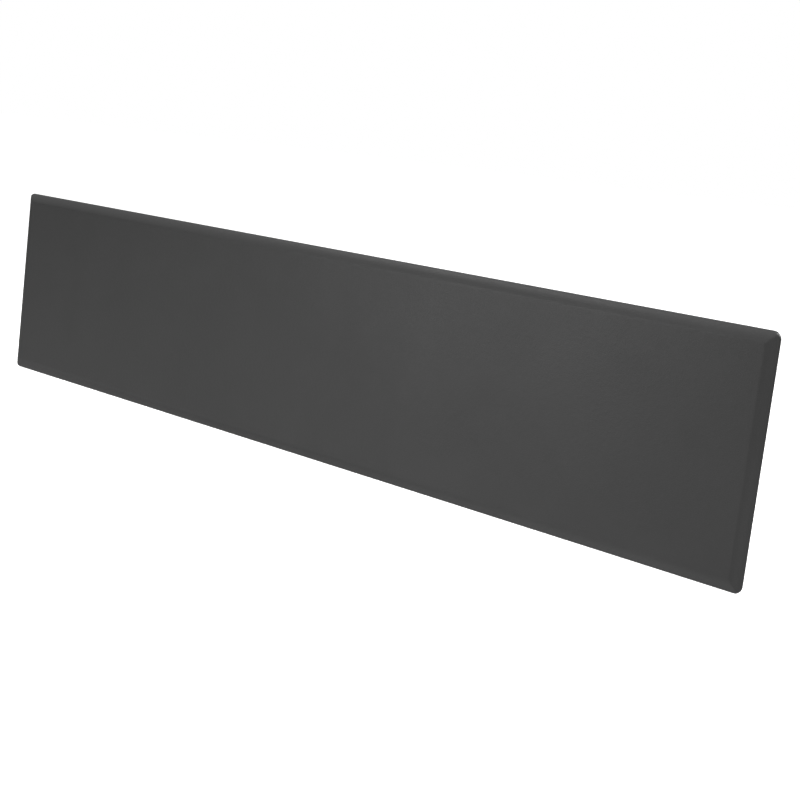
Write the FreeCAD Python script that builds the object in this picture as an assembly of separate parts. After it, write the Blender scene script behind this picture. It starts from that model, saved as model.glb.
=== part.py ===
import FreeCAD, Part
import math
import os

from FreeCAD import Vector

# A self-adhesive kick plate for the foot of a door: a moulded plastic plate with a soft bevel all round,
# strips of double-sided foam tape in a shallow recess behind it, and a release liner on each strip.
# Millimetres. X runs along the plate, to the right as seen from in front. Y runs from the front of the
# plate to the door, and Z is up. The origin is the middle of the plane that is offered up to the door,
# the outer faces of the liners.

# The moulded plate
plate_length = 735.0
plate_height = 150.0
plate_depth = 4.0
corner_radius = 5.0
bevel_width = 7.5
bevel_depth = 2.7
bevel_crown = 0.4            # how far the middle of the bevel bulges beyond a flat slope
crest_radius = 8.0           # soft turn from the face into the bevel, and from bevel to bevel at a corner
edge_radius = 1.3            # turn from the bevel into the edge wall
back_edge_radius = 0.3
rim_width = 6.0              # bearing rim around the recess
recess_corner_radius = 4.0
recess_foot_radius = 0.8     # fillet at the foot of the recess wall

# The foam tape
tape_width = 19.0
tape_thickness = 2.0
tape_proud = 0.3             # stands behind the rim, and is squeezed flush when the plate is pressed on
tape_clearance = 1.5         # between the recess wall and the strips beside it
middle_strips = ("left_middle", "centre", "right_middle")

# The release liners
liner_thickness = 0.13
tab_length = 5.0             # finger tab past each end of a strip
tab_corner_radius = 3.0
tab_clearance = 1.5          # between a tab and the strip it points at

# Planes across the plate, from the door forwards
tape_back = -liner_thickness
tape_front = tape_back - tape_thickness
recess_depth = tape_thickness - tape_proud
rim_back = tape_front + recess_depth
plate_front = rim_back - plate_depth

# The space for the strips inside the recess
strip_space_length = plate_length - 2 * (rim_width + tape_clearance)
strip_space_height = plate_height - 2 * (rim_width + tape_clearance)
row_offset = (strip_space_height - tape_width) / 2
column_offset = (strip_space_length - tape_width) / 2
column_height = strip_space_height - 2 * (tape_width + tab_length + tab_clearance)

tolerance = 1e-4


def rounded_slab(length, height, radius, front, back):
    """A slab centred on the Y axis, with its four long corners rounded."""
    slab = Part.makeBox(length, back - front, height, Vector(-length / 2, front, -height / 2))
    corners = [edge for edge in slab.Edges if edge.BoundBox.YLength > tolerance]
    return slab.makeFillet(radius, corners)


def bevelled_bar(span, length, place):
    """A bar with the plate's section: the flat face, a crowned bevel on each side and straight run-outs
    that carry the bevels well past the plane of the rim, so that the soft turns end clear of the plate.
    place(across, behind, along) sets out its points."""
    slope_length = math.hypot(bevel_width, bevel_depth)
    foot_slope = math.atan2(bevel_depth, bevel_width) + 4 * bevel_crown / slope_length
    run_out_depth = 2 * plate_depth
    run_out = (run_out_depth - bevel_depth) / math.tan(foot_slope)
    inset_and_depth = (
        (bevel_width, 0.0),
        (bevel_width / 2 - bevel_crown * bevel_depth / slope_length,
         bevel_depth / 2 - bevel_crown * bevel_width / slope_length),
        (0.0, bevel_depth),
        (-run_out, run_out_depth),
    )

    def side_points(side):
        return [
            place(side * (span / 2 - inset), plate_front + depth, -length / 2)
            for inset, depth in inset_and_depth
        ]

    left, right = side_points(-1), side_points(1)
    section = Part.Wire([
        Part.makeLine(left[0], right[0]),
        Part.Arc(*right[:3]).toShape(),
        Part.makeLine(right[2], right[3]),
        Part.makeLine(right[3], left[3]),
        Part.makeLine(left[3], left[2]),
        Part.Arc(*left[2::-1]).toShape(),
    ])
    return Part.Face(section).extrude(place(0, 0, length))


def bevelled_block():
    """The face and its four bevels, mitred where they meet, with soft turns along the crest and mitres.
    It is what two bars have in common, each long enough to pass right through the other."""
    along_x = bevelled_bar(
        plate_height, 2 * plate_length, lambda across, y, along: Vector(along, y, across)
    )
    along_z = bevelled_bar(
        plate_length, 2 * plate_height, lambda across, y, along: Vector(across, y, along)
    )
    block = along_x.common(along_z).Solids[0]
    crest_and_mitres = [edge for edge in block.Edges if edge.BoundBox.YMin < plate_front + tolerance]
    return block.makeFillet(crest_radius, crest_and_mitres)


def outline_inset(point):
    """How far a point lies inside the plate's outline."""
    beyond_x = abs(point.x) - (plate_length / 2 - corner_radius)
    beyond_z = abs(point.z) - (plate_height / 2 - corner_radius)
    if beyond_x > 0 and beyond_z > 0:
        return corner_radius - math.hypot(beyond_x, beyond_z)
    return corner_radius - max(beyond_x, beyond_z)


def on_edge_wall(edge):
    middle = edge.valueAt((edge.FirstParameter + edge.LastParameter) / 2)
    return abs(outline_inset(middle)) < tolerance


def kick_plate():
    body = rounded_slab(plate_length, plate_height, corner_radius, plate_front, rim_back)
    body = body.common(bevelled_block()).removeSplitter()
    wall_top = [
        edge for edge in body.Edges
        if on_edge_wall(edge) and edge.BoundBox.YMax < rim_back - tolerance
    ]
    wall_height = plate_depth - bevel_depth
    body = body.makeFillet(min(edge_radius, wall_height), wall_top)
    back_edges = [edge for edge in body.Edges if edge.BoundBox.YMin > rim_back - tolerance]
    body = body.makeFillet(min(back_edge_radius, wall_height / 4), back_edges)
    recess = rounded_slab(
        plate_length - 2 * rim_width, plate_height - 2 * rim_width,
        recess_corner_radius, tape_front, tape_back,
    )
    foot = [edge for edge in recess.Edges if edge.BoundBox.YMax < tape_front + tolerance]
    recess = recess.makeFillet(min(recess_foot_radius, recess_depth / 2), foot)
    return body.cut(recess)


def tape_strip(length, height, x, z):
    return Part.makeBox(length, tape_thickness, height, Vector(x - length / 2, tape_front, z - height / 2))


def release_liner(length, height, x, z):
    """The liner over a strip, with a tab past each end of the strip's longer side."""
    if length > height:
        length += 2 * tab_length
    else:
        height += 2 * tab_length
    liner = rounded_slab(length, height, tab_corner_radius, tape_back, 0.0)
    return liner.translated(Vector(x, 0, z))


def strip_layout():
    """Each strip's name, with its length and height and the place of its middle."""
    layout = {
        "top": (strip_space_length, tape_width, 0.0, row_offset),
        "bottom": (strip_space_length, tape_width, 0.0, -row_offset),
        "left_end": (tape_width, column_height, -column_offset, 0.0),
        "right_end": (tape_width, column_height, column_offset, 0.0),
    }
    pitch = 2 * column_offset / (len(middle_strips) + 1)
    for number, name in enumerate(middle_strips, start=1):
        layout[name] = (tape_width, column_height, number * pitch - column_offset, 0.0)
    return layout


def build():
    nodes = {"kick_plate": kick_plate()}
    for name, place in strip_layout().items():
        nodes["foam_tape_" + name] = tape_strip(*place)
        nodes["release_liner_" + name] = release_liner(*place)
    return nodes


os.makedirs("parts", exist_ok=True)
for node, shape in build().items():
    shape.exportStep("parts/" + node + ".step")
    print(node, "valid" if shape.isValid() else "NOT VALID", len(shape.Solids), round(shape.Volume, 1))
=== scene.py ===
import math

import bpy
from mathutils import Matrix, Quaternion, Vector, noise


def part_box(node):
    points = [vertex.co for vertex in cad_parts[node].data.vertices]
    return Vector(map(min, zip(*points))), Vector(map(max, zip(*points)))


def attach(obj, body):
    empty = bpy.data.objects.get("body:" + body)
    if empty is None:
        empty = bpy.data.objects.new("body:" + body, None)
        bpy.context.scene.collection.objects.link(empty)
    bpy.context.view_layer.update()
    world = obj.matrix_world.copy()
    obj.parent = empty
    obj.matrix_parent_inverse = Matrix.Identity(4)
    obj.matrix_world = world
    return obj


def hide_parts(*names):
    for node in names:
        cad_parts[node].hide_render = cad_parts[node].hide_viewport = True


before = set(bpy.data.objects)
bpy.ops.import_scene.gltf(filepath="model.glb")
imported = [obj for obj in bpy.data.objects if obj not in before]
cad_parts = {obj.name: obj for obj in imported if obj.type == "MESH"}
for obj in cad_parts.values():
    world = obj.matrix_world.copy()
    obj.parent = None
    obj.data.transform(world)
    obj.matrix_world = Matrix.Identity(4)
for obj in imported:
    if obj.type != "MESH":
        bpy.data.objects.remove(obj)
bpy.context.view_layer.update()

# The looks of a self-adhesive plastic kick plate, in metres. Places come from the frame. The sections, which
# the frame's boxes don't tell, are the part's own.
MM = 0.001

# The moulded plate
BEVEL_WIDTH = 7.5 * MM
BEVEL_DEPTH = 2.7 * MM
BEVEL_CROWN = 0.4 * MM
CREST_RADIUS = 8.0 * MM
EDGE_RADIUS = 1.3 * MM
BACK_EDGE_RADIUS = 0.3 * MM
CORNER_RADIUS = 5.0 * MM
RIM_WIDTH = 6.0 * MM
RECESS_CORNER_RADIUS = 4.0 * MM
RECESS_FOOT_RADIUS = 0.8 * MM
RECESS_MOUTH_RADIUS = 0.15 * MM

# The foam tape and its liners
STRIPS = ("top", "bottom", "left_end", "left_middle", "centre", "right_middle", "right_end")
FOAM_CORNER_RADIUS = 0.4 * MM
FOAM_EDGE_RADIUS = 0.15 * MM
FOAM_WAIST = 0.10 * MM           # how far the middle of a cut side is drawn in
FOAM_RAGGEDNESS = 0.08 * MM      # the deepest bite out of a cut side
RAGGED_LENGTH = 1.3 * MM         # from bite to bite
RAGGED_REACH = 1.0 * MM          # how far in from a cut side the raggedness goes
LINER_CORNER_RADIUS = 3.0 * MM
LINER_EDGE_RADIUS = 0.03 * MM
TAB_DROOP = 0.18 * MM            # at the tip of a liner's tab

# How finely each mesh is cut
CORNER_MARGIN = 1.2              # where the even grid starts, in corner radii past the innermost loop
PLATE_SPACING = 8 * MM
PLATE_CORNER_STEPS = 10
FACE_MARGIN = 2 * MM             # a loop on the flat of the face, this far past the crest
RIM_MARGIN = 0.4 * MM            # a loop on the flat of the rim, this far from the recess's mouth
CREST_STEPS = 4
BEVEL_STEPS = 8
SHOULDER_STEPS = 9
BACK_EDGE_STEPS = 4
MOUTH_STEPS = 3
FOOT_STEPS = 5
FOAM_SPACING = 2 * MM
FOAM_CORNER_STEPS = 3
FOAM_EDGE_STEPS = 3
FOAM_SIDE_STEPS = 6
FOAM_FACE_INSET = 0.6 * MM
LINER_SPACING = 4 * MM
LINER_CORNER_STEPS = 6
LINER_EDGE_STEPS = 2
LINER_FACE_INSET = 4 * MM


# ---- meshes ----

def spread(start, end, steps):
    """Evenly spaced values from start to end, both included."""
    return [start + (end - start) * step / steps for step in range(steps + 1)]


def quarter_turn(radius, steps):
    """(inset, depth) along a rounded edge, from the face, at (radius, 0), to the side, at (0, radius)."""
    return [
        (radius * (1 - math.sin(angle)), radius * (1 - math.cos(angle)))
        for angle in spread(0, math.pi / 2, steps)
    ]


def side_places(half, corner_steps, clearance, spacing):
    """Where the grid lines cross one side: (end, distance from that end of the side) in its two corners, with
    end -1 or 1, and (0, place) between them."""
    clear = half - clearance
    count = max(2, round(2 * clear / spacing))
    low = [(-1, step) for step in corner_steps]
    high = [(1, step) for step in reversed(corner_steps)]
    return low + [(0, place) for place in spread(-clear, clear, count)] + high


def to_arc(half_x, half_z, radius, x, z):
    """Moves a point of a rectangle's border on to the arc of its corner, if it lies in one."""
    from_x = half_x - abs(x)
    from_z = half_z - abs(z)
    farther = max(from_x, from_z)
    if farther >= radius:
        return x, z
    turn = math.pi / 4 * (1 - farther / radius)
    angle = turn if from_x < from_z else math.pi / 2 - turn
    arc_x = half_x - radius + radius * math.cos(angle)
    arc_z = half_z - radius + radius * math.sin(angle)
    return math.copysign(arc_x, x), math.copysign(arc_z, z)


def layered_mesh(half_x, half_z, corner_steps, spacing, layers):
    """A closed mesh of quads for a slab with rounded corners, centred on the Y axis. Each layer is a loop
    (inset, corner radius, y), and y may be a function of x and z. The loops run from the front face, over the
    edge, to the back face, and the first and last are filled with grids."""
    clearance = max(layer[0] for layer in layers) + CORNER_MARGIN * corner_steps[-1]
    x_places = side_places(half_x, corner_steps, clearance, spacing)
    z_places = side_places(half_z, corner_steps, clearance, spacing)
    last_x = len(x_places) - 1
    last_z = len(z_places) - 1
    border = (
        [(i, 0) for i in range(last_x)]
        + [(last_x, k) for k in range(last_z)]
        + [(i, last_z) for i in range(last_x, 0, -1)]
        + [(0, k) for k in range(last_z, 0, -1)]
    )
    vertices = []

    def add(spot, inset, radius, y):
        sides = ((x_places[spot[0]], half_x), (z_places[spot[1]], half_z))
        across = [
            end * (half - inset - distance) if end else distance
            for (end, distance), half in sides
        ]
        x, z = to_arc(half_x - inset, half_z - inset, radius, *across)
        vertices.append((x, y(x, z) if callable(y) else y, z))
        return len(vertices) - 1

    def grid(layer):
        return {(i, k): add((i, k), *layer) for i in range(last_x + 1) for k in range(last_z + 1)}

    def grid_faces(numbers, turned):
        faces = []
        for i in range(last_x):
            for k in range(last_z):
                face = [numbers[i, k], numbers[i + 1, k], numbers[i + 1, k + 1], numbers[i, k + 1]]
                faces.append(face[::-1] if turned else face)
        return faces

    front = grid(layers[0])
    back = grid(layers[-1])
    loops = [[front[spot] for spot in border]]
    loops += [[add(spot, *layer) for spot in border] for layer in layers[1:-1]]
    loops.append([back[spot] for spot in border])
    faces = grid_faces(front, False) + grid_faces(back, True)
    for inner, outer in zip(loops, loops[1:]):
        faces += zip(inner, outer, outer[1:] + outer[:1], inner[1:] + inner[:1])
    return vertices, faces


def extent(low, high):
    """A box's middle as (x, z), half its length, half its height, and its front and back planes."""
    middle = ((low.x + high.x) / 2, (low.z + high.z) / 2)
    return middle, (high.x - low.x) / 2, (high.z - low.z) / 2, low.y, high.y


def add_piece(name, vertices, faces, middle, material, replaced, slot):
    """A smooth-shaded piece on the root body that stands for a CAD node."""
    mesh = bpy.data.meshes.new(name)
    mesh.from_pydata([(x + middle[0], y, z + middle[1]) for x, y, z in vertices], [], faces)
    mesh.validate()
    mesh.shade_smooth()
    mesh.materials.append(material)
    piece = bpy.data.objects.new(name, mesh)
    bpy.context.scene.collection.objects.link(piece)
    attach(piece, "root")
    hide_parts(replaced)
    return piece


# ---- material nodes ----

def new_material(name):
    material = bpy.data.materials.new(name)
    material.use_nodes = True
    return material, material.node_tree, material.node_tree.nodes["Principled BSDF"]


def object_coordinates(tree):
    return tree.nodes.new("ShaderNodeTexCoord").outputs["Object"]


def noise_node(tree, coordinates, size, detail=2.0, roughness=0.5, distortion=0.0):
    """Noise whose features are about size metres across."""
    node = tree.nodes.new("ShaderNodeTexNoise")
    node.inputs["Scale"].default_value = 1 / size
    node.inputs["Detail"].default_value = detail
    node.inputs["Roughness"].default_value = roughness
    node.inputs["Distortion"].default_value = distortion
    tree.links.new(coordinates, node.inputs["Vector"])
    return node.outputs["Fac"]


def ramp_node(tree, value, between, low_colour, high_colour):
    """Colour that goes from low_colour to high_colour as value goes between two numbers."""
    node = tree.nodes.new("ShaderNodeValToRGB")
    first, last = node.color_ramp.elements
    first.position, last.position = between
    first.color = (*low_colour, 1.0)
    last.color = (*high_colour, 1.0)
    tree.links.new(value, node.inputs["Fac"])
    return node.outputs["Color"]


def range_node(tree, value, between, outcome):
    """A number that goes between the two of outcome as value goes between two others."""
    node = tree.nodes.new("ShaderNodeMapRange")
    for socket, number in zip(("From Min", "From Max", "To Min", "To Max"), (*between, *outcome)):
        node.inputs[socket].default_value = number
    tree.links.new(value, node.inputs["Value"])
    return node.outputs["Result"]


def bump_node(tree, height, distance, normal=None):
    """A bump whose full range is distance metres high."""
    node = tree.nodes.new("ShaderNodeBump")
    node.inputs["Distance"].default_value = distance
    tree.links.new(height, node.inputs["Height"])
    if normal:
        tree.links.new(normal, node.inputs["Normal"])
    return node.outputs["Normal"]


# ---- materials ----

NOISE_MIDDLE = (0.3, 0.7)        # where nearly all of a noise's values lie

CHARCOAL_DARKER = (0.0345, 0.0345, 0.0345)
CHARCOAL_LIGHTER = (0.0385, 0.0385, 0.0385)
FLOW_MARK_SIZE = 70 * MM
ORANGE_PEEL_SIZE = 2.5 * MM
ORANGE_PEEL_HEIGHT = 0.05 * MM
GRAIN_SIZE = 0.6 * MM
GRAIN_HEIGHT = 0.07 * MM
PLASTIC_ROUGHNESS = (0.34, 0.31)
PLASTIC_IOR = 1.5

FOAM_CELL_SIZE = 0.45 * MM
FOAM_CELL_DEPTH = 0.15 * MM
# Painted shade: the foam colour at the bottom of each cell, darkened as if shade lay in its hollow.
FOAM_CELL_BOTTOM_SHADE = (0.50, 0.50, 0.48)
FOAM_CELL_WALL = (0.68, 0.68, 0.66)
FOAM_ROUGHNESS = (0.9, 0.7)

PAPER_DARKER = (0.76, 0.745, 0.70)
PAPER_LIGHTER = (0.83, 0.82, 0.785)
PAPER_ROUGHNESS = (0.34, 0.48)
PAPER_CLOUD_SIZE = 3 * MM
PAPER_FIBRE_SIZE = 0.5 * MM
PAPER_FIBRE_HEIGHT = 0.008 * MM
PAPER_COCKLE_SIZE = 22 * MM
PAPER_COCKLE_HEIGHT = 0.25 * MM


def charcoal_plastic():
    """Satin moulded plastic: a fine even grain, and flow marks that barely change its tone and gloss."""
    material, tree, shader = new_material("charcoal_plastic")
    place = object_coordinates(tree)
    flow = noise_node(tree, place, FLOW_MARK_SIZE, detail=3.0, distortion=0.6)
    colour = ramp_node(tree, flow, NOISE_MIDDLE, CHARCOAL_DARKER, CHARCOAL_LIGHTER)
    tree.links.new(colour, shader.inputs["Base Color"])
    tree.links.new(range_node(tree, flow, NOISE_MIDDLE, PLASTIC_ROUGHNESS), shader.inputs["Roughness"])
    orange_peel = noise_node(tree, place, ORANGE_PEEL_SIZE, detail=1.0)
    bumped = bump_node(tree, orange_peel, ORANGE_PEEL_HEIGHT)
    grain = noise_node(tree, place, GRAIN_SIZE, detail=2.0, roughness=0.6)
    tree.links.new(bump_node(tree, grain, GRAIN_HEIGHT, bumped), shader.inputs["Normal"])
    shader.inputs["IOR"].default_value = PLASTIC_IOR
    return material


def pale_foam():
    """Closed-cell foam: small dished cells with thin walls, duller at the bottom of each cell, and with
    painted shade darkening the bottom of each cell.
    """
    material, tree, shader = new_material("pale_foam")
    cells = tree.nodes.new("ShaderNodeTexVoronoi")
    cells.inputs["Scale"].default_value = 1 / FOAM_CELL_SIZE
    tree.links.new(object_coordinates(tree), cells.inputs["Vector"])
    height = cells.outputs["Distance"]
    # Paints shade into each cell's hollow: darkest where the cell is deepest, the foam's own colour on the
    # walls.
    colour = ramp_node(tree, height, (0.1, 0.8), FOAM_CELL_BOTTOM_SHADE, FOAM_CELL_WALL)
    tree.links.new(colour, shader.inputs["Base Color"])
    tree.links.new(range_node(tree, height, (0.0, 1.0), FOAM_ROUGHNESS), shader.inputs["Roughness"])
    tree.links.new(bump_node(tree, height, FOAM_CELL_DEPTH), shader.inputs["Normal"])
    return material


def release_paper():
    """Silicone-coated paper: a soft gloss over faint fibres and cloudiness."""
    material, tree, shader = new_material("release_paper")
    place = object_coordinates(tree)
    clouds = noise_node(tree, place, PAPER_CLOUD_SIZE, detail=5.0, roughness=0.65)
    colour = ramp_node(tree, clouds, NOISE_MIDDLE, PAPER_DARKER, PAPER_LIGHTER)
    tree.links.new(colour, shader.inputs["Base Color"])
    fibres = noise_node(tree, place, PAPER_FIBRE_SIZE, detail=4.0, roughness=0.7, distortion=2.0)
    tree.links.new(range_node(tree, fibres, NOISE_MIDDLE, PAPER_ROUGHNESS), shader.inputs["Roughness"])
    cockle = noise_node(tree, place, PAPER_COCKLE_SIZE, detail=2.0)
    bumped = bump_node(tree, cockle, PAPER_COCKLE_HEIGHT)
    tree.links.new(bump_node(tree, fibres, PAPER_FIBRE_HEIGHT, bumped), shader.inputs["Normal"])
    return material


# ---- the moulded plate ----

plate_low, plate_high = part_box("kick_plate")
HALF_LENGTH = plate_high.x
HALF_HEIGHT = plate_high.z
FRONT = plate_low.y
RIM_BACK = plate_high.y
RECESS_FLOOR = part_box("foam_tape_centre")[0].y

# The crowned bevel is an arc. Its centre is an inset from the plate's side and a depth behind the face.
SLOPE_LENGTH = math.hypot(BEVEL_WIDTH, BEVEL_DEPTH)
ARC_RADIUS = SLOPE_LENGTH ** 2 / (8 * BEVEL_CROWN) + BEVEL_CROWN / 2
ARC_INSET = BEVEL_WIDTH / 2 + BEVEL_DEPTH / SLOPE_LENGTH * (ARC_RADIUS - BEVEL_CROWN)
ARC_DEPTH = BEVEL_DEPTH / 2 + BEVEL_WIDTH / SLOPE_LENGTH * (ARC_RADIUS - BEVEL_CROWN)
# The crest is a smaller arc that touches the face and the bevel, and the shoulder is one that touches the
# bevel and the edge wall.
CREST_INSET = ARC_INSET - math.sqrt((ARC_RADIUS - CREST_RADIUS) ** 2 - (ARC_DEPTH - CREST_RADIUS) ** 2)
CREST_FOOT = ARC_INSET - ARC_RADIUS * (ARC_INSET - CREST_INSET) / (ARC_RADIUS - CREST_RADIUS)
SHOULDER_INSET = EDGE_RADIUS * (ARC_RADIUS - ARC_INSET) / (ARC_RADIUS - EDGE_RADIUS)
MITRE_SHARPNESS = 6
SLOPE_STEP = 0.05 * MM           # over which the bevel's slope is measured


def section_depth(inset):
    """How far the surface lies behind the face, at an inset from one side alone."""
    if inset >= CREST_INSET:
        return 0.0
    if inset >= CREST_FOOT:
        return CREST_RADIUS - math.sqrt(CREST_RADIUS ** 2 - (CREST_INSET - inset) ** 2)
    return ARC_DEPTH - math.sqrt(ARC_RADIUS ** 2 - (ARC_INSET - inset) ** 2)


def bevel_depth(x, z):
    """The depth where the bevels of two sides meet in a softened mitre."""
    depths = (section_depth(HALF_LENGTH - abs(x)), section_depth(HALF_HEIGHT - abs(z)))
    return sum(depth ** MITRE_SHARPNESS for depth in depths) ** (1 / MITRE_SHARPNESS)


def moved_in(x, z, distance):
    """A point near the plate's outline, moved square to the outline towards the middle of the plate."""
    beyond = Vector((abs(x) - HALF_LENGTH + CORNER_RADIUS, abs(z) - HALF_HEIGHT + CORNER_RADIUS))
    outward = Vector((max(beyond.x, 0.0), max(beyond.y, 0.0))).normalized()
    return x - math.copysign(outward.x, x) * distance, z - math.copysign(outward.y, z) * distance


def shoulder(inset):
    """y on the turn from the bevel into the edge wall, as a function of x and z at that inset."""
    def y(x, z):
        start = bevel_depth(*moved_in(x, z, SHOULDER_INSET - inset))
        slope = (start - bevel_depth(*moved_in(x, z, SHOULDER_INSET - inset + SLOPE_STEP))) / SLOPE_STEP
        tilt = math.atan(slope)
        radius = SHOULDER_INSET / (1 - math.sin(tilt))
        return FRONT + start + radius * (math.cos(tilt) - math.sqrt(1 - (1 - inset / radius) ** 2))
    return y


def face(x, z):
    return FRONT + bevel_depth(x, z)


def plate_layers():
    """Loops from the flat of the face, out over the bevel and the edge, and in over the rim and recess."""
    crest = spread(CREST_INSET, CREST_FOOT, CREST_STEPS)
    bevel = spread(CREST_FOOT, SHOULDER_INSET, BEVEL_STEPS)[1:]
    insets = [CREST_INSET + FACE_MARGIN, *crest, *bevel]
    layers = [(inset, max(CORNER_RADIUS - inset, 0.0), face) for inset in insets]
    for inset, _ in quarter_turn(SHOULDER_INSET, SHOULDER_STEPS)[1:]:
        layers.append((inset, CORNER_RADIUS - inset, shoulder(inset)))
    for inset, depth in reversed(quarter_turn(BACK_EDGE_RADIUS, BACK_EDGE_STEPS)):
        layers.append((inset, CORNER_RADIUS - inset, RIM_BACK - depth))
    layers.append((RIM_WIDTH - RECESS_MOUTH_RADIUS - RIM_MARGIN, RECESS_CORNER_RADIUS, RIM_BACK))
    for inset, depth in quarter_turn(RECESS_MOUTH_RADIUS, MOUTH_STEPS):
        layers.append((RIM_WIDTH - inset, RECESS_CORNER_RADIUS, RIM_BACK - depth))
    for inset, depth in reversed(quarter_turn(RECESS_FOOT_RADIUS, FOOT_STEPS)):
        layers.append((RIM_WIDTH + inset, RECESS_CORNER_RADIUS - inset, RECESS_FLOOR + depth))
    layers.append((RIM_WIDTH + RECESS_CORNER_RADIUS, 0.0, RECESS_FLOOR))
    return layers


def moulded_plate(material):
    corner_steps = spread(0, CORNER_RADIUS, PLATE_CORNER_STEPS)
    plate_mesh = layered_mesh(HALF_LENGTH, HALF_HEIGHT, corner_steps, PLATE_SPACING, plate_layers())
    add_piece("moulded_plate", *plate_mesh, (0.0, 0.0), material, "kick_plate", "plate_plastic")


# ---- the foam tape and its liners ----

def foam_layers(front, back):
    """Loops over a strip's front face, round its waisted cut sides and over its back face."""
    turn = quarter_turn(FOAM_EDGE_RADIUS, FOAM_EDGE_STEPS)
    layers = [(FOAM_FACE_INSET, 0.0, front)]
    layers += [(inset, FOAM_CORNER_RADIUS, front + depth) for inset, depth in turn]
    for share in spread(0, 1, FOAM_SIDE_STEPS)[1:-1]:
        y = front + FOAM_EDGE_RADIUS + share * (back - front - 2 * FOAM_EDGE_RADIUS)
        layers.append((FOAM_WAIST * math.sin(math.pi * share), FOAM_CORNER_RADIUS, y))
    layers += [(inset, FOAM_CORNER_RADIUS, back - depth) for inset, depth in reversed(turn)]
    layers.append((FOAM_FACE_INSET, 0.0, back))
    return layers


def ragged(vertices, middle, half_x, half_z):
    """The vertices with those of the cut sides moved in, unevenly along the strip."""
    moved = []
    for x, y, z in vertices:
        place = Vector((x + middle[0], y, z + middle[1]))
        bite = FOAM_RAGGEDNESS * (1 + noise.noise(place / RAGGED_LENGTH)) / 2
        bite_x = bite if half_x - abs(x) < RAGGED_REACH else 0.0
        bite_z = bite if half_z - abs(z) < RAGGED_REACH else 0.0
        moved.append((x - math.copysign(bite_x, x), y, z - math.copysign(bite_z, z)))
    return moved


def foam_strip(name, material):
    middle, half_x, half_z, front, back = extent(*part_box("foam_tape_" + name))
    corner_steps = spread(0, FOAM_CORNER_RADIUS, FOAM_CORNER_STEPS)
    vertices, faces = layered_mesh(half_x, half_z, corner_steps, FOAM_SPACING, foam_layers(front, back))
    vertices = ragged(vertices, middle, half_x, half_z)
    replaced = "foam_tape_" + name
    piece = add_piece("foam_strip_" + name, vertices, faces, middle, material, replaced, "foam_tape")


def liner(name, material):
    """A liner lies flat on its strip, and its tabs droop past the strip's ends."""
    middle, half_x, half_z, front, back = extent(*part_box("release_liner_" + name))
    _, foam_half_x, foam_half_z, _, _ = extent(*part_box("foam_tape_" + name))
    reach = max(half_x - foam_half_x, half_z - foam_half_z)

    def resting(plane):
        def y(x, z):
            beyond = max(abs(x) - foam_half_x, abs(z) - foam_half_z, 0.0)
            return plane - TAB_DROOP * (beyond / reach) ** 2
        return y

    turn = quarter_turn(LINER_EDGE_RADIUS, LINER_EDGE_STEPS)
    layers = [(LINER_FACE_INSET, 0.0, resting(front))]
    layers += [(inset, LINER_CORNER_RADIUS - inset, resting(front + depth)) for inset, depth in turn]
    layers += [(inset, LINER_CORNER_RADIUS - inset, resting(back - depth)) for inset, depth in reversed(turn)]
    layers.append((LINER_FACE_INSET, 0.0, resting(back)))
    corner_steps = spread(0, LINER_CORNER_RADIUS, LINER_CORNER_STEPS)
    vertices, faces = layered_mesh(half_x, half_z, corner_steps, LINER_SPACING, layers)
    add_piece("liner_" + name, vertices, faces, middle, material, "release_liner_" + name, "liner_paper")


moulded_plate(charcoal_plastic())
foam_material = pale_foam()
paper_material = release_paper()
for strip in STRIPS:
    foam_strip(strip, foam_material)
    liner(strip, paper_material)


# ---- the camera, floor and light ----

CAMERA_AZIMUTH = math.radians(42.957)
CAMERA_ELEVATION = math.radians(8.739)
CAMERA_ROLL = math.radians(6.896)
CAMERA_DISTANCE = 1.0794
CAMERA_LENS = 72.08
CAMERA_NEAR = 0.01
CAMERA_FAR = 100.0
AIM = Vector((0.0889, RIM_BACK, -0.0171))

WHITE = (1.0, 1.0, 1.0, 1.0)
FLOOR_REACH = 30.0
FLOOR_PAINT = (0.9, 0.9, 0.9, 1.0)
FLOOR_GLOW = 0.65

FILL_HORIZON = 0.25              # the fill is full where a direction's z is past this, up or down
FILL_LEFT = 0.44
FILL_RIGHT = 0.64


def direction(azimuth, elevation):
    """The unit vector from the object towards something at that azimuth to the right of the front."""
    level = math.cos(elevation)
    return Vector((math.sin(azimuth) * level, -math.cos(azimuth) * level, math.sin(elevation)))


def add_camera():
    camera = bpy.data.objects.new("camera", bpy.data.cameras.new("camera"))
    bpy.context.scene.collection.objects.link(camera)
    camera.data.lens = CAMERA_LENS
    camera.data.clip_start = CAMERA_NEAR
    camera.data.clip_end = CAMERA_FAR
    towards = direction(CAMERA_AZIMUTH, CAMERA_ELEVATION)
    camera.location = AIM + towards * CAMERA_DISTANCE
    level = (-towards).to_track_quat("-Z", "Y")
    camera.rotation_mode = "QUATERNION"
    camera.rotation_quaternion = level @ Quaternion((0.0, 0.0, 1.0), CAMERA_ROLL)
    bpy.context.scene.camera = camera


def add_floor():
    """A large pale floor under the plate. It doesn't light the plate or show in its gloss."""
    mesh = bpy.data.meshes.new("floor")
    signs = ((-1, -1), (1, -1), (1, 1), (-1, 1))
    corners = [(x * FLOOR_REACH, y * FLOOR_REACH, -HALF_HEIGHT) for x, y in signs]
    mesh.from_pydata(corners, [], [(0, 1, 2, 3)])
    material, _, shader = new_material("floor_paint")
    shader.inputs["Base Color"].default_value = FLOOR_PAINT
    shader.inputs["Roughness"].default_value = 1.0
    shader.inputs["Specular IOR Level"].default_value = 0.0
    shader.inputs["Emission Color"].default_value = WHITE
    shader.inputs["Emission Strength"].default_value = FLOOR_GLOW
    mesh.materials.append(material)
    floor = bpy.data.objects.new("floor", mesh)
    bpy.context.scene.collection.objects.link(floor)
    floor.visible_glossy = False
    floor.visible_diffuse = False
    floor.visible_shadow = False


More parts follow.
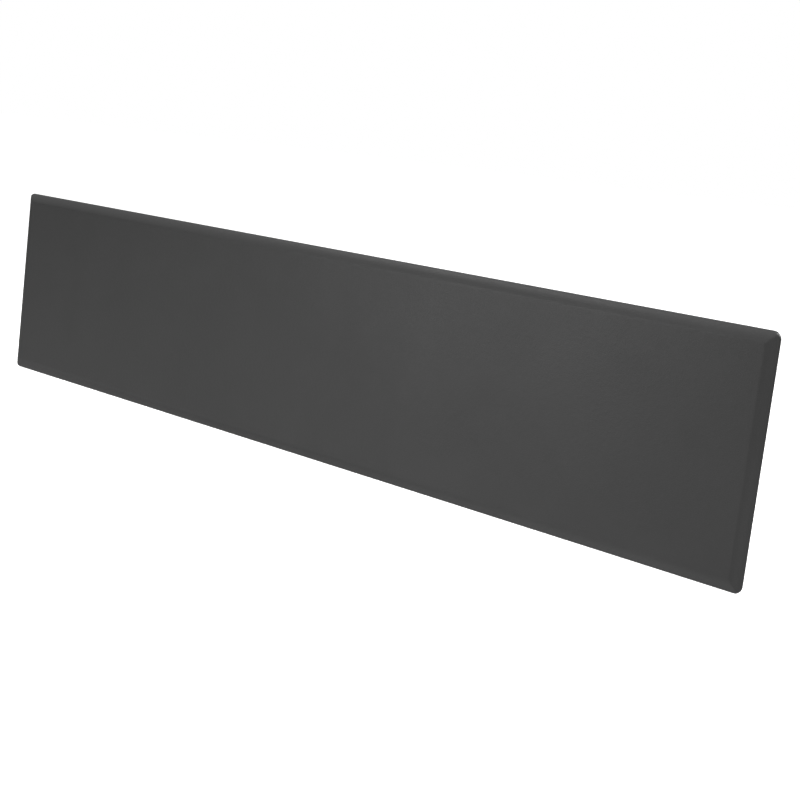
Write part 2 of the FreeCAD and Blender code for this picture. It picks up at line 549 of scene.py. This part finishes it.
def add_world():
    """White to the camera. To the object it is a soft fill from above and below, like a light tent over a lit
    table. The fill falls away to nothing at eye level, and is stronger on the right."""
    world = bpy.data.worlds.new("studio")
    bpy.context.scene.world = world
    world.use_nodes = True
    tree = world.node_tree
    nodes, links = tree.nodes, tree.links
    axes = nodes.new("ShaderNodeSeparateXYZ")
    links.new(nodes.new("ShaderNodeTexCoord").outputs["Generated"], axes.inputs["Vector"])
    height = nodes.new("ShaderNodeMath")
    height.operation = "ABSOLUTE"
    links.new(axes.outputs["Z"], height.inputs[0])
    rise = range_node(tree, height.outputs["Value"], (0.0, FILL_HORIZON), (0.0, 1.0))
    sideways = range_node(tree, axes.outputs["X"], (-1.0, 1.0), (FILL_LEFT, FILL_RIGHT))
    strength = nodes.new("ShaderNodeMath")
    strength.operation = "MULTIPLY"
    links.new(rise, strength.inputs[0])
    links.new(sideways, strength.inputs[1])
    fill = nodes["Background"]
    fill.inputs["Color"].default_value = WHITE
    links.new(strength.outputs["Value"], fill.inputs["Strength"])
    seen = nodes.new("ShaderNodeBackground")
    seen.inputs["Color"].default_value = WHITE
    seen.inputs["Strength"].default_value = 1.0
    mix = nodes.new("ShaderNodeMixShader")
    links.new(nodes.new("ShaderNodeLightPath").outputs["Is Camera Ray"], mix.inputs["Fac"])
    links.new(fill.outputs["Background"], mix.inputs[1])
    links.new(seen.outputs["Background"], mix.inputs[2])
    links.new(mix.outputs["Shader"], nodes["World Output"].inputs["Surface"])


def add_softbox(name, azimuth, elevation, distance, size, radiance):
    """A rectangular light facing the middle of the plate, at an azimuth and elevation in degrees. radiance is
    how bright its face is."""
    data = bpy.data.lights.new(name, "AREA")
    data.shape = "RECTANGLE"
    data.size, data.size_y = size
    data.energy = radiance * math.pi * data.size * data.size_y
    softbox = bpy.data.objects.new(name, data)
    bpy.context.scene.collection.objects.link(softbox)
    softbox.location = direction(math.radians(azimuth), math.radians(elevation)) * distance
    softbox.rotation_mode = "QUATERNION"
    softbox.rotation_quaternion = (-softbox.location).to_track_quat("-Z", "Y")
    softbox.visible_camera = False


add_camera()
add_floor()
add_world()
add_softbox("key_softbox", azimuth=-33, elevation=3.5, distance=1.6, size=(0.45, 0.45), radiance=2.5)
add_softbox("overhead_left_softbox", azimuth=-48, elevation=40, distance=1.6, size=(0.5, 0.4), radiance=2.1)
add_softbox("overhead_right_softbox", azimuth=40, elevation=60, distance=2.2, size=(1.4, 1.4), radiance=8.1)
add_softbox("low_front_softbox", azimuth=-33, elevation=-20, distance=1.6, size=(0.6, 0.6), radiance=0.52)
add_softbox("low_left_softbox", azimuth=-55, elevation=-10, distance=1.6, size=(0.6, 0.6), radiance=0.23)
add_softbox("low_right_softbox", azimuth=22, elevation=-21, distance=1.7, size=(0.4, 0.4), radiance=0.65)
add_softbox("table_softbox", azimuth=-40, elevation=-50, distance=2.0, size=(1.0, 1.0), radiance=0.6)
add_softbox("back_softbox", azimuth=150, elevation=35, distance=2.2, size=(1.0, 1.0), radiance=6.5)
bpy.context.scene.view_settings.view_transform = "Standard"
